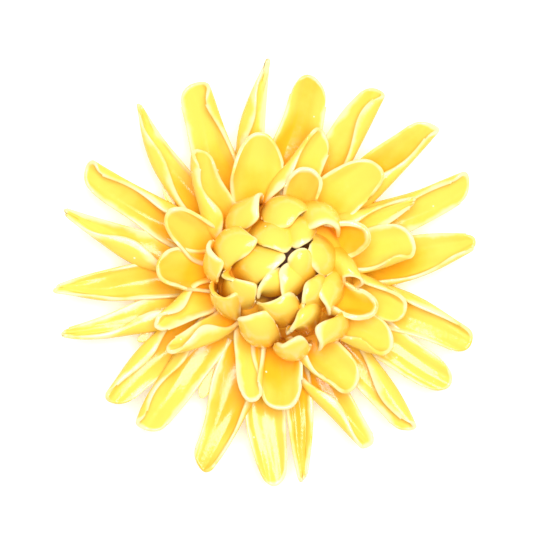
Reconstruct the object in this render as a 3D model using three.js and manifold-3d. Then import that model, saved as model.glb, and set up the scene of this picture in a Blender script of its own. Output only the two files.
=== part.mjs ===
// A chrysanthemum bloom in glazed ceramic, seen from above in the photo: long folded petals in an
// outer ring, shorter spoon petals over them, and a ball of petals that curl in over the heart.
// The clay was joined wet and fired as one piece, so the whole bloom is one solid.
// Millimetres. +Z runs up the flower's axis from its foot, +Y is the top of the photo, +X its right.
import * as THREE from 'three';
import { mergeVertices } from 'three/addons/utils/BufferGeometryUtils.js';
import Module from 'manifold-3d';

// The clay that every petal grows from: a flat foot, and a core under the ball.
const FOOT_RADIUS = 21;
const FOOT_EDGE_HEIGHT = 2.5;
const SWOLLEN_RADIUS = 23;
const FOOT_HEIGHT = 12;
const FOOT_SIDES = 10;
const CORE_RADIUS = 21.5;
const CORE_FLOOR = 7;
const CORE_HEIGHT = 29.5;
const CORE_SIDES = 7;
// Shares of the core's radius and height, from its lower edge up.
const CORE_PROFILE = [[0.93, CORE_FLOOR / CORE_HEIGHT], [1, 0.45], [0.77, 0.8], [0.36, 0.97]];

// The open petals' wall, how much of it is left at the tip, and how much thinner it is at the rims,
// which sets in by a power of the share across.
const WALL = 1.8;
const TIP_WALL_SHARE = 0.78;
const RIM_THINNING = 0.35;
const THINNING_POWER = 4;

// The same for the ball's petals. Their sides drop by a share of their half width, a part of it as
// a quarter round that is cut short of its end. Their mouth's corners are drawn back by a share of
// the length, and their lip flares out and up a little.
const BALL_WALL = 1.9;
const MOUTH_WALL_SHARE = 0.8;
const SIDE_THINNING = 0.45;
const DROP_SHARE = 0.8;
const ROUND_SHARE = 0.5;
const ROUND_CUT = 0.9;
const CORNER = 0.16;
const CORNER_POWER = 4;
const FLARE = { height: 0.8, from: 0.7, to: 1.1 };

// Width along an open petal, as shares of its length and of its half width: it swells from the root,
// tapers to the tip's share and is rounded off, down to a least share at the very end.
const SWELL = { rootShare: 0.86, until: 0.4 };
const TAPER = { from: 0.3, power: 1.5 };
const LEAST_END_SHARE = 0.03;

// The walls' curl rises from the root of an open petal, wavers along it, and needs this many wall
// thicknesses of half width before it is full.
const UNROLLED_AT_ROOT = 0.45;
const ROLLED_FROM = 0.6;
const CURL_ROOM = 2.3;
const WAVER = 0.16;
const WAVER_LEFT = { turns: 1.15, step: 0.37, start: 0 };
const WAVER_RIGHT = { turns: 1.3, step: 0.61, start: 0.3 };

// An open petal's tip leads and lags in a wave across it, which sets in towards the end by this
// power of the share along the petal.
const TIP_WAVE = { depth: 0.9, across: 1.6, step: 1.7, power: 3 };

// The axis of the two open rings, and the heart that the ball's petals stand round.
const RING_X = -1;
const HEART = new THREE.Vector3(5.4, 0.6, 4);
const UP = new THREE.Vector3(0, 0, 1);

// The ball's spots are where the photo shows them, in steps of this length right of and below its
// top left corner; these are the steps to the foot's centre.
const PHOTO_STEP = 0.3;
const PHOTO_CENTRE = { right: 267, down: 272 };

// The share of a ball petal's length and width over which its slope is measured.
const SLOPE_STEP = 0.02;

// Corners of a petal nearer than this are one corner.
const WELD = 1e-4;

// Faces of one petal: cross-sections along it, crowded towards the tip by this power, and points
// across each side of its wall.
const CROWDING = 1.45;
const OUTER_FACES = { sections: 6, across: 5 };
const INNER_FACES = { sections: 6, across: 5 };
const BALL_FACES = { sections: 4, across: 5 };

// Each open ring: radius and height of the roots, height of the knee, and how flat a fold is pressed.
const OUTER_RING = {
  rootRadius: 19, rootHeight: 7.5, kneeHeight: 9, squash: 0.5, faces: OUTER_FACES,
};
const INNER_RING = {
  rootRadius: 13, rootHeight: 12, kneeHeight: 14, squash: 0.62, faces: INNER_FACES,
};
const KNEE_SHARE = 0.68;

// Outer ring, clockwise as seen from above, from the petal at the top of the photo. Headings are
// degrees from +X towards +Y.
// [heading at the root, heading at the tip, reach, tip height, half width,
//  left wall's curl, right wall's curl, width at the tip as a share]
const OUTER_PETALS = [
  [98, 89, 62.6, 17, 3.9, 170, 60, 0.12],
  [76, 75, 60.2, 15, 6.8, 60, 45, 0.72],
  [59, 58, 65.0, 17, 5.6, 60, 150, 0.45],
  [41, 42, 67.0, 16, 5.6, 60, 150, 0.75],
  [22, 23, 67.0, 16, 5.8, 145, 50, 0.7],
  [4, 8, 64.2, 16, 7.2, 50, 120, 0.5],
  [345, 341, 66.0, 15, 5.8, 120, 55, 0.78],
  [331, 329, 64.5, 13, 6.0, 60, 60, 0.75],
  [318, 312, 64.0, 17, 4.6, 165, 70, 0.6],
  [297, 302, 61.5, 15, 5.0, 60, 150, 0.4],
  [287, 281, 63.2, 17, 4.6, 70, 150, 0.25],
  [270, 273, 63.0, 15, 5.8, 60, 75, 0.78],
  [257, 252, 61.6, 16, 6.4, 110, 60, 0.45],
  [231, 234, 59.6, 16, 5.8, 60, 140, 0.62],
  [218, 221, 59.6, 15, 5.4, 60, 140, 0.6],
  [202, 197, 62.0, 16, 4.8, 170, 60, 0.2],
  [184, 185, 62.6, 17, 5.6, 110, 90, 0.15],
  [171, 163, 62.0, 17, 4.8, 165, 65, 0.15],
  [154, 150, 61.0, 16, 5.2, 65, 140, 0.7],
  [135, 127, 61.6, 17, 4.4, 165, 60, 0.12],
  [114, 111, 60.6, 16, 5.7, 60, 125, 0.78],
];

// Inner ring, from the broad spoon at the top, in the same terms.
const INNER_PETALS = [
  [95, 91, 40.2, 22, 7.6, 75, 60, 0.85],
  [72, 65, 45.2, 20, 5.8, 130, 50, 0.55],
  [62, 65, 33.8, 27, 5.0, 85, 85, 0.9],
  [46, 44, 46.2, 21, 6.8, 60, 80, 0.9],
  [27, 25, 49.2, 20, 4.6, 150, 50, 0.2],
  [12, 12, 46.2, 20, 6.2, 50, 130, 0.8],
  [348, 344, 44.2, 20, 5.4, 115, 50, 0.8],
  [328, 332, 43.2, 21, 5.8, 60, 125, 0.8],
  [304, 309, 43.2, 20, 5.8, 60, 130, 0.8],
  [280, 278, 41.8, 21, 6.8, 70, 75, 0.85],
  [258, 266, 38.2, 22, 4.6, 130, 60, 0.5],
  [233, 218, 35.8, 22, 3.4, 170, 20, 0.6],
  [203, 207, 35.4, 22, 4.6, 65, 150, 0.4],
  [182, 179, 31.8, 24, 6.2, 80, 75, 0.8],
  [156, 149, 33.4, 25, 6.0, 80, 85, 0.8],
  [128, 117, 40.2, 24, 5.0, 170, 70, 0.5],
];

// Ball petals: they climb the outside of the ball and bend in over the heart to an open mouth.
// [root, belly, the mouth's edge in five spots from its left corner to its right,
//  [the mouth's height in the middle, its rise from there to the right, its drop to both corners],
//  half width at the root and at the belly, and where it isn't the ball's, the wall at both sides]
const BALL_PETALS = [
  [[242, 207, 10], [238, 207, 25],
    [[263, 197], [256, 200], [254, 211], [254, 221], [246, 228]], [31, 1.5, 3.5], [6, 6.6]],
  [[284, 205, 10], [286, 199, 27],
    [[306, 211], [298, 216], [290, 225], [279, 227], [264, 222]], [32, 0, 4], [6, 6.6]],
  [[324, 213, 10], [327, 208, 26.5],
    [[336, 240], [336, 230], [326, 224], [314, 228], [304, 233]], [32.5, 2.5, 5], [5.4, 6]],
  [[346, 242, 9], [360, 246, 15],
    [[347, 228], [356, 230], [363, 237], [366, 247], [361, 258]], [28, -2.5, 3.5], [5.4, 4.8],
    [3.0, 1.1]],
  [[344, 250, 12], [351, 262, 26.5],
    [[352, 291], [361, 283], [353, 276], [343, 277], [345, 289]], [29.5, 0.5, 7], [3, 3.8],
    [1.1, 1.5]],
  [[337, 295, 12], [338, 294, 28],
    [[329, 315], [326, 305], [320, 296], [318, 287], [322, 280]], [33.5, 0.7, 4.7], [5, 5.8]],
  [[344, 304, 9], [363, 307, 12],
    [[362, 295], [371, 298], [370, 309], [359, 318], [343, 315]], [26, -4, 4], [4.4, 4.8],
    [2.6, 1.0]],
  [[331, 334, 11], [333, 332, 27],
    [[317, 349], [319, 340], [315, 330], [317, 323], [329, 319]], [32.5, 1.5, 4.5], [5, 5.4]],
  [[294, 348, 10], [294, 353, 26.5],
    [[277, 339], [283, 343], [291, 339], [301, 334], [309, 343]], [33, 0.2, 4.7], [5, 5.4]],
  [[256, 340, 10], [256, 339, 28],
    [[240, 321], [248, 320], [258, 315], [268, 312], [273, 319]], [34, 0.7, 3.8], [6, 5.8]],
  [[225, 308, 10], [221, 306, 26],
    [[211, 288], [217, 295], [226, 298], [234, 294], [240, 292]], [31.5, 2.5, 2.5], [6, 6]],
  [[213, 262, 12], [209, 263, 26],
    [[214, 241], [212, 249], [218, 258], [223, 263], [217, 279]], [31, 0.7, 3.2], [4.8, 5.6]],
  [[222, 250, 18], [224, 247, 31],
    [[243, 233], [250, 239], [256, 242], [250, 254], [236, 263]], [34.5, 0.5, 3.5], [5.5, 6.5]],
  [[268, 216, 18], [270, 228, 31],
    [[293, 246], [286, 252], [276, 249.5], [266, 246], [256, 241]], [35, -0.5, 3.5], [6, 7]],
  [[306, 220, 18], [303, 222, 30],
    [[311, 239], [307, 242], [302, 244], [297, 247], [292, 248]], [33.8, 0.5, 2.5], [3.6, 4]],
  [[331, 250, 18], [328, 251, 30.5],
    [[319, 275], [312, 266], [306, 258], [308, 250], [313, 243]], [35, 1.2, 3.7], [5, 6]],
  [[226, 300, 14], [232, 292, 29.5],
    [[222, 274], [236, 279], [249, 282], [256, 287], [254, 297]], [34, 1, 3], [6, 6.4]],
  [[232, 268, 22], [249, 265, 33.5],
    [[277, 255], [279, 261], [273, 268], [266, 275], [257, 279]], [36, 0, 3.5], [5, 5.6]],
  [[276, 296, 24], [275, 287, 34],
    [[260, 291], [262, 284], [267, 277], [272, 271], [276, 268]], [36, 0.7, 3], [4.2, 4.6]],
  [[299, 288, 24], [294, 280, 35],
    [[282, 294], [284, 287], [285, 279], [285, 272], [287, 266]], [36.5, 0.7, 3], [4.4, 4.8]],
  [[317, 274, 22], [306, 267, 35],
    [[291, 264], [293, 259], [298, 255], [303, 254], [305, 258]], [36.8, 0, 3], [4.6, 5.2]],
  [[322, 305, 22], [313, 294, 34],
    [[302, 305], [303, 298], [304, 291], [306, 284], [311, 281]], [36, 0, 3.2], [4.8, 5.2]],
  [[274, 326, 19], [280, 313, 33.5],
    [[259, 302], [266, 304], [276, 301], [285, 294], [291, 291]], [36, 1, 3.2], [4.4, 5.4]],
  [[311, 328, 19], [306, 321, 33],
    [[285, 332], [291, 328], [296, 320], [299, 312], [304, 306]], [34.5, 1.5, 3.2], [4.2, 4.8]],
];

// Where an open petal bends, worked out from its headings, reach and ring.
function openPetal(row, index, ring) {
  const [rootHeading, tipHeading, reach, tipHeight, halfWidth, left, right, tipShare] = row;
  const at = (heading, radius, height) => new THREE.Vector3(
    RING_X + radius * Math.cos(THREE.MathUtils.degToRad(heading)),
    radius * Math.sin(THREE.MathUtils.degToRad(heading)),
    height,
  );
  const curve = new THREE.QuadraticBezierCurve3(
    at(rootHeading, ring.rootRadius, ring.rootHeight),
    at(rootHeading, KNEE_SHARE * reach, ring.kneeHeight),
    at(tipHeading, reach, tipHeight),
  );
  const petal = {
    curve, length: curve.getLength(), halfWidth, left, right, tipShare, index, squash: ring.squash,
  };
  return { loopAt: (t) => openLoop(petal, t, ring.faces.across), ...ring.faces };
}

// Half width at t: swelling, then tapering, then rounded off over the last stretch.
function halfWidthAt(petal, t) {
  const risen = Math.sin((Math.PI / 2) * Math.min(t / SWELL.until, 1));
  const swell = SWELL.rootShare + (1 - SWELL.rootShare) * risen;
  const ease = Math.max((t - TAPER.from) / (1 - TAPER.from), 0) ** TAPER.power;
  const wide = petal.halfWidth * swell * (1 - (1 - petal.tipShare) * ease);
  const radius = petal.halfWidth * petal.tipShare;
  const past = THREE.MathUtils.clamp(1 - ((1 - t) * petal.length) / radius, 0, 1);
  return wide * (LEAST_END_SHARE + (1 - LEAST_END_SHARE) * Math.sqrt(1 - past * past));
}

// One wall's curl wavers along the petal, each petal in its own phase.
function waver(wave, t, index) {
  return 1 + WAVER * Math.sin(2 * Math.PI * (wave.turns * t + wave.step * index + wave.start));
}

// How wide an arc that turns through this angle looks from its open side, for radius 1.
const reachOf = (angle) => (angle > Math.PI / 2 ? 1 : Math.sin(angle));

// The closed loop of points round an open petal's wall at t: the upper side, then the lower back.
function openLoop(petal, t, columns) {
  const { curve } = petal;
  const centre = curve.getPoint(t);
  const along = curve.getTangent(t);
  const across = new THREE.Vector3().crossVectors(curve.v2.clone().sub(curve.v0), UP).normalize();
  across.addScaledVector(along, -across.dot(along)).normalize();
  const up = new THREE.Vector3().crossVectors(across, along);
  const width = halfWidthAt(petal, t);
  const wall = WALL * (1 - (1 - TIP_WALL_SHARE) * t);

  // Where the petal gets narrow its walls open out, so that they never meet inside.
  const room = Math.min(width / (CURL_ROOM * WALL), 1);
  const curl = room * (2 - room);
  const rolled = Math.sin((Math.PI / 2) * Math.min(t / ROLLED_FROM, 1));
  const turn = THREE.MathUtils.degToRad(curl * (1 - UNROLLED_AT_ROOT * (1 - rolled)));
  const left = petal.left * turn * waver(WAVER_LEFT, t, petal.index);
  const right = petal.right * turn * waver(WAVER_RIGHT, t, petal.index);
  const squash = petal.squash + (1 - petal.squash) * (1 - curl);
  const radius = (2 * width) / (reachOf(left) + reachOf(right));
  const shift = ((reachOf(right) - reachOf(left)) / 2) * radius;
  const lead = TIP_WAVE.depth * (width / petal.halfWidth) * t ** TIP_WAVE.power;

  const upper = [];
  const lower = [];
  for (let i = 0; i < columns; i += 1) {
    const v = (2 * i) / (columns - 1) - 1;
    const angle = -left + ((left + right) * (v + 1)) / 2;
    const slope = new THREE.Vector2(Math.cos(angle), squash * Math.sin(angle)).normalize();
    const half = (wall / 2) * (1 - RIM_THINNING * v ** THINNING_POWER);
    const x = radius * Math.sin(angle) - shift;
    const y = squash * radius * (1 - Math.cos(angle));
    const ahead = lead * Math.sin(TIP_WAVE.across * v + TIP_WAVE.step * petal.index);
    for (const [side, sign] of [[upper, 1], [lower, -1]]) {
      side.push(centre.clone()
        .addScaledVector(across, x - sign * half * slope.y)
        .addScaledVector(up, y + sign * half * slope.x)
        .addScaledVector(along, ahead));
    }
  }
  return [...upper, ...lower.reverse()];
}

// A spot of the photo, with its height.
function photoPoint([right, down, height]) {
  return new THREE.Vector3(
    PHOTO_STEP * (right - PHOTO_CENTRE.right),
    PHOTO_STEP * (PHOTO_CENTRE.down - down),
    height,
  );
}

// How far a ball petal has fallen away at v, from 0 on its crown line to 1 at its sides: a part of
// it by a quarter round, the rest by a parabola.
function fall(v) {
  const round = (1 - Math.sqrt(1 - ROUND_CUT * v * v)) / (1 - Math.sqrt(1 - ROUND_CUT));
  return (1 - ROUND_SHARE) * v * v + ROUND_SHARE * round;
}

// A ball petal's middle surface, from its root (t 0) to its mouth (t 1) and from its left side
// (v -1) to its right (v 1). It is a patch through three rows: two run straight across at the root
// and at the belly and fall away to the sides, and the third is the mouth's edge.
function ballSheet([root, belly, mouth, [middle, rise, drop], halves]) {
  const spots = mouth.map(([right, down], i) => {
    const v = (2 * i) / (mouth.length - 1) - 1;
    return photoPoint([right, down, middle + rise * v - drop * fall(v)]);
  });
  const lip = new THREE.CatmullRomCurve3(spots, false, 'catmullrom');
  const crown = [photoPoint(root), photoPoint(belly)];
  const out = crown[1].clone().sub(HEART).normalize();
  const heading = new THREE.Vector3();
  spots.forEach((spot) => heading.addScaledVector(spot, 1 / spots.length));
  const across = new THREE.Vector3().crossVectors(heading.sub(crown[0]), out).normalize();
  const flareWay = out.clone().add(UP).normalize();
  return (t, v) => {
    const [first, second] = crown.map((spot, i) => spot.clone()
      .addScaledVector(across, v * halves[i])
      .addScaledVector(out, -DROP_SHARE * halves[i] * fall(v)));
    const last = lip.getPoint((v + 1) / 2);
    const control = second.multiplyScalar(2).addScaledVector(first, -0.5).addScaledVector(last, -0.5);
    const drawnBack = CORNER * (1 - (1 - v ** CORNER_POWER) ** (1 / CORNER_POWER));
    const reached = t * (1 - drawnBack);
    const flare = FLARE.height * THREE.MathUtils.smoothstep(reached, FLARE.from, FLARE.to);
    return new THREE.QuadraticBezierCurve3(first, control, last)
      .getPoint(reached)
      .addScaledVector(flareWay, flare);
  };
}

// A ball petal shows its outside, so its upper side is the one away from the heart.
function ballPetal(row) {
  const sheet = ballSheet(row);
  const [leftWall, rightWall] = row[5] ?? [BALL_WALL, BALL_WALL];
  const slope = (before, after) => sheet(...after).sub(sheet(...before));
  const loopAt = (t) => {
    const upper = [];
    const lower = [];
    for (let i = 0; i < BALL_FACES.across; i += 1) {
      const v = (2 * i) / (BALL_FACES.across - 1) - 1;
      const across = slope([t, Math.max(v - SLOPE_STEP, -1)], [t, Math.min(v + SLOPE_STEP, 1)]);
      const along = slope([Math.max(t - SLOPE_STEP, 0), v], [Math.min(t + SLOPE_STEP, 1), v]);
      const normal = new THREE.Vector3().crossVectors(across, along).normalize();
      const wall = THREE.MathUtils.lerp(leftWall, rightWall, (v + 1) / 2);
      const thinned = (1 - (1 - MOUTH_WALL_SHARE) * t) * (1 - SIDE_THINNING * v ** THINNING_POWER);
      for (const [side, sign] of [[upper, 1], [lower, -1]]) {
        side.push(sheet(t, v).addScaledVector(normal, (sign * wall * thinned) / 2));
      }
    }
    return [...upper, ...lower.reverse()];
  };
  return { loopAt, ...BALL_FACES };
}

// A petal is its loops joined from root to tip, with a strip over the root and over the tip.
function petalGeometry(petal) {
  const loops = [];
  for (let i = 0; i < petal.sections; i += 1) {
    const t = 1 - (1 - i / (petal.sections - 1)) ** CROWDING;
    loops.push(petal.loopAt(t));
  }
  const count = 2 * petal.across;
  const faces = [];
  const quad = (a, b, c, d) => faces.push(a, b, c, a, c, d);
  for (let ring = 0; ring < petal.sections - 1; ring += 1) {
    for (let k = 0; k < count; k += 1) {
      const next = (k + 1) % count;
      const here = ring * count;
      quad(here + k, here + next, here + count + next, here + count + k);
    }
  }
  const last = (petal.sections - 1) * count;
  for (let k = 0; k < petal.across - 1; k += 1) {
    const facing = count - 1 - k;
    quad(k, facing, facing - 1, k + 1);
    quad(last + k, last + k + 1, last + facing - 1, last + facing);
  }
  const geometry = new THREE.BufferGeometry();
  const numbers = loops.flat().flatMap((p) => [p.x, p.y, p.z]);
  geometry.setAttribute('position', new THREE.Float32BufferAttribute(numbers, 3));
  geometry.setIndex(faces);
  return geometry;
}

// A profile of [radius, height] points, from the axis out and back to the axis, turned round +Z.
function turned(profile, sides) {
  const points = profile.map(([radius, height]) => new THREE.Vector2(radius, height));
  const geometry = new THREE.LatheGeometry(points, sides);
  geometry.rotateX(Math.PI / 2);
  return geometry;
}

// The foot stands on a flat underside, its edge a little rounded.
function footGeometry() {
  return turned([
    [0, 0],
    [FOOT_RADIUS, 0],
    [SWOLLEN_RADIUS, FOOT_EDGE_HEIGHT],
    [SWOLLEN_RADIUS, FOOT_HEIGHT],
    [0, FOOT_HEIGHT],
  ], FOOT_SIDES);
}

// The core fills the ball under its petals.
function coreGeometry() {
  const geometry = turned([
    [0, CORE_FLOOR],
    ...CORE_PROFILE.map(([out, high]) => [out * CORE_RADIUS, high * CORE_HEIGHT]),
    [0, CORE_HEIGHT],
  ], CORE_SIDES);
  geometry.translate(HEART.x, HEART.y, 0);
  return geometry;
}

const wasm = await Module();
wasm.setup();

function toSolid(geometry) {
  geometry.deleteAttribute('normal');
  geometry.deleteAttribute('uv');
  const merged = mergeVertices(geometry, WELD);
  return new wasm.Manifold(new wasm.Mesh({
    numProp: 3,
    vertProperties: merged.attributes.position.array,
    triVerts: new Uint32Array(merged.index.array),
  }));
}

// The outer skin of a joined solid: the shell with the most inside it. Small hollows that the
// petals shut between them are filled by leaving out their walls.
function outerSkin(solid) {
  const shells = solid.decompose();
  return shells.reduce((best, shell) => (shell.volume() > best.volume() ? shell : best));
}

function toGeometry(solid) {
  const mesh = solid.getMesh();
  const geometry = new THREE.BufferGeometry();
  geometry.setAttribute('position', new THREE.BufferAttribute(mesh.vertProperties, 3));
  geometry.setIndex(new THREE.BufferAttribute(mesh.triVerts, 1));
  return geometry;
}

const petals = [
  ...OUTER_PETALS.map((row, i) => openPetal(row, i + 1, OUTER_RING)),
  ...INNER_PETALS.map((row, i) => openPetal(row, i + 1, INNER_RING)),
  ...BALL_PETALS.map(ballPetal),
];
let joined = toSolid(footGeometry()).add(toSolid(coreGeometry()));
for (const petal of petals) {
  joined = joined.add(toSolid(petalGeometry(petal)));
}

const glaze = new THREE.MeshStandardMaterial({ color: 0xf7c325, roughness: 0.12, metalness: 0 });
const bloom = new THREE.Mesh(toGeometry(outerSkin(joined)), glaze);
bloom.name = 'bloom';

const flower = new THREE.Group();
flower.add(bloom);

export default flower;
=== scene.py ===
"""A chrysanthemum bloom in glossy yellow glaze, photographed from straight above on white.

Sizes are in millimetres and turned into Blender's metres when a mesh is made. +Z runs up the
flower's axis from the foot that it stands on, +Y is the top of the photo and +X its right. Every
petal is a wall of clay round a middle surface, which is a grid of two parameters: t runs from the
petal's root to its tip or mouth, and v from its left rim to its right rim.
"""

import logging
import math
from abc import ABC, abstractmethod
from dataclasses import dataclass, replace
from enum import Enum

import bpy
import numpy as np
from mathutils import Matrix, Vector

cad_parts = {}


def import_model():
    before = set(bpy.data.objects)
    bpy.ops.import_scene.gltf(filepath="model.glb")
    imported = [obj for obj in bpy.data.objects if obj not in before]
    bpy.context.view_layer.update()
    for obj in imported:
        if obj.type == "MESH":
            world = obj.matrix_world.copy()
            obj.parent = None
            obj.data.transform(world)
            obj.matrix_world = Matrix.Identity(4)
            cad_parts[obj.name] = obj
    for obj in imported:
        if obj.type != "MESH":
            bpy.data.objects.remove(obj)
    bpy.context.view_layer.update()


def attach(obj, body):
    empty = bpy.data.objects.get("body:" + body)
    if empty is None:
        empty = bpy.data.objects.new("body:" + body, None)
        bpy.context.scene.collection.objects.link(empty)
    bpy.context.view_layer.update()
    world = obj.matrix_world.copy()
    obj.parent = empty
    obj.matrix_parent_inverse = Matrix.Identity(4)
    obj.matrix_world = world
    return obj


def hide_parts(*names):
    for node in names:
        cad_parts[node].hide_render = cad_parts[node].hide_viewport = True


log = logging.getLogger("bloom")

MM = 0.001
NODE = "bloom"
UP = np.array([0.0, 0.0, 1.0])
FULL_TURN = 2.0 * math.pi
QUARTER_TURN = FULL_TURN / 4.0
PHOTO_STEP_MM = 0.3
PHOTO_STEPS_ACROSS = 533
PHOTO_CENTRE = (267.0, 272.0)

Point = tuple[float, float, float]
Profile = tuple[tuple[float, float], ...]
Colour = tuple[float, float, float, float]
Socket = bpy.types.NodeSocket


def smooth(low: float, high: float, values: np.ndarray) -> np.ndarray:
    """A soft step from 0 at low to 1 at high.

    Args:
        low: Where the step starts.
        high: Where it ends.
        values: The numbers to grade.

    Returns:
        3x^2 - 2x^3 of each value's share x of the way.
    """
    share = np.clip((values - low) / (high - low), 0.0, 1.0)
    return share * share * (3.0 - 2.0 * share)


def unit(vectors: np.ndarray) -> np.ndarray:
    """Vectors along the last axis, each divided by its own length."""
    return vectors / np.maximum(np.linalg.norm(vectors, axis=-1, keepdims=True), 1e-9)


def rounded(v: np.ndarray, power: float) -> np.ndarray:
    """How far a rounded end falls short: 1 minus the height of the superellipse of a power at v."""
    return 1.0 - np.maximum(1.0 - np.abs(v) ** power, 0.0) ** (1.0 / power)


def photo_point(spot: Point) -> np.ndarray:
    """A point given by where the photo shows it.

    Args:
        spot: The photo's steps to the right of and below its top left corner, and height in mm.

    Returns:
        Its place in millimetres, with the foot's centre at the origin.
    """
    right, down = PHOTO_CENTRE
    return np.array([PHOTO_STEP_MM * (spot[0] - right), PHOTO_STEP_MM * (down - spot[1]), spot[2]])


def through(spots: np.ndarray, v: np.ndarray) -> np.ndarray:
    """A smooth curve through evenly spaced spots.

    Between two spots it is the cubic whose slope at each of them is half the step between its
    neighbours; past the ends the first and last steps go on.

    Args:
        spots: Points, one a row.
        v: Parameters from -1 at the first spot to 1 at the last.

    Returns:
        A point for each parameter, along a new last axis.
    """
    first, last = 2 * spots[0] - spots[1], 2 * spots[-1] - spots[-2]
    path = np.vstack([first, spots, last])
    place = (v + 1.0) / 2.0 * (len(spots) - 1)
    step = np.clip(np.floor(place).astype(int), 0, len(spots) - 2)
    f = (place - step)[..., None]
    a, b, c, d = (path[step + k] for k in range(4))
    slope, bend = (c - a) / 2, (d - b) / 2
    return (
        b + f * slope + f ** 2 * (3 * (c - b) - 2 * slope - bend)
        + f ** 3 * (slope + bend - 2 * (c - b))
    )


def bands(index: np.ndarray) -> np.ndarray:
    """The quads between closed rings of points.

    Args:
        index: The points' numbers, one ring a row.

    Returns:
        Four corners a row.
    """
    beside = np.roll(index, -1, axis=1)
    return np.stack([index[:-1], beside[:-1], beside[1:], index[1:]], axis=-1).reshape(-1, 4)


def split(quads: np.ndarray) -> np.ndarray:
    """Quads as triangles, without those that have two corners in one point.

    Args:
        quads: Four corners a row.

    Returns:
        Three corners a row.
    """
    triangles = np.concatenate([quads[:, [0, 1, 2]], quads[:, [0, 2, 3]]])
    a, b, c = triangles.T
    return triangles[(a != b) & (b != c) & (c != a)]


class Hollow(Enum):
    """Which side of a petal's wall is its hollow one."""

    ABOVE = "trough"
    BELOW = "hood"


@dataclass(frozen=True)
class Sheet:
    """The middle surface of a wall on a grid: rows from root to end, columns from left to right.

    Each point also has the wall's thickness, its distance from the edge as the glaze reads it, and
    how much glaze has pooled there, together with painted shade, on the hollow side and on the back.
    """

    points: np.ndarray
    wall: np.ndarray
    edge: np.ndarray
    hollow: np.ndarray
    back: np.ndarray


@dataclass(frozen=True)
class Skin:
    """A closed shell as points and triangles, with what the glaze reads at each point."""

    points: np.ndarray
    triangles: np.ndarray
    edge: np.ndarray
    pool: np.ndarray


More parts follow.
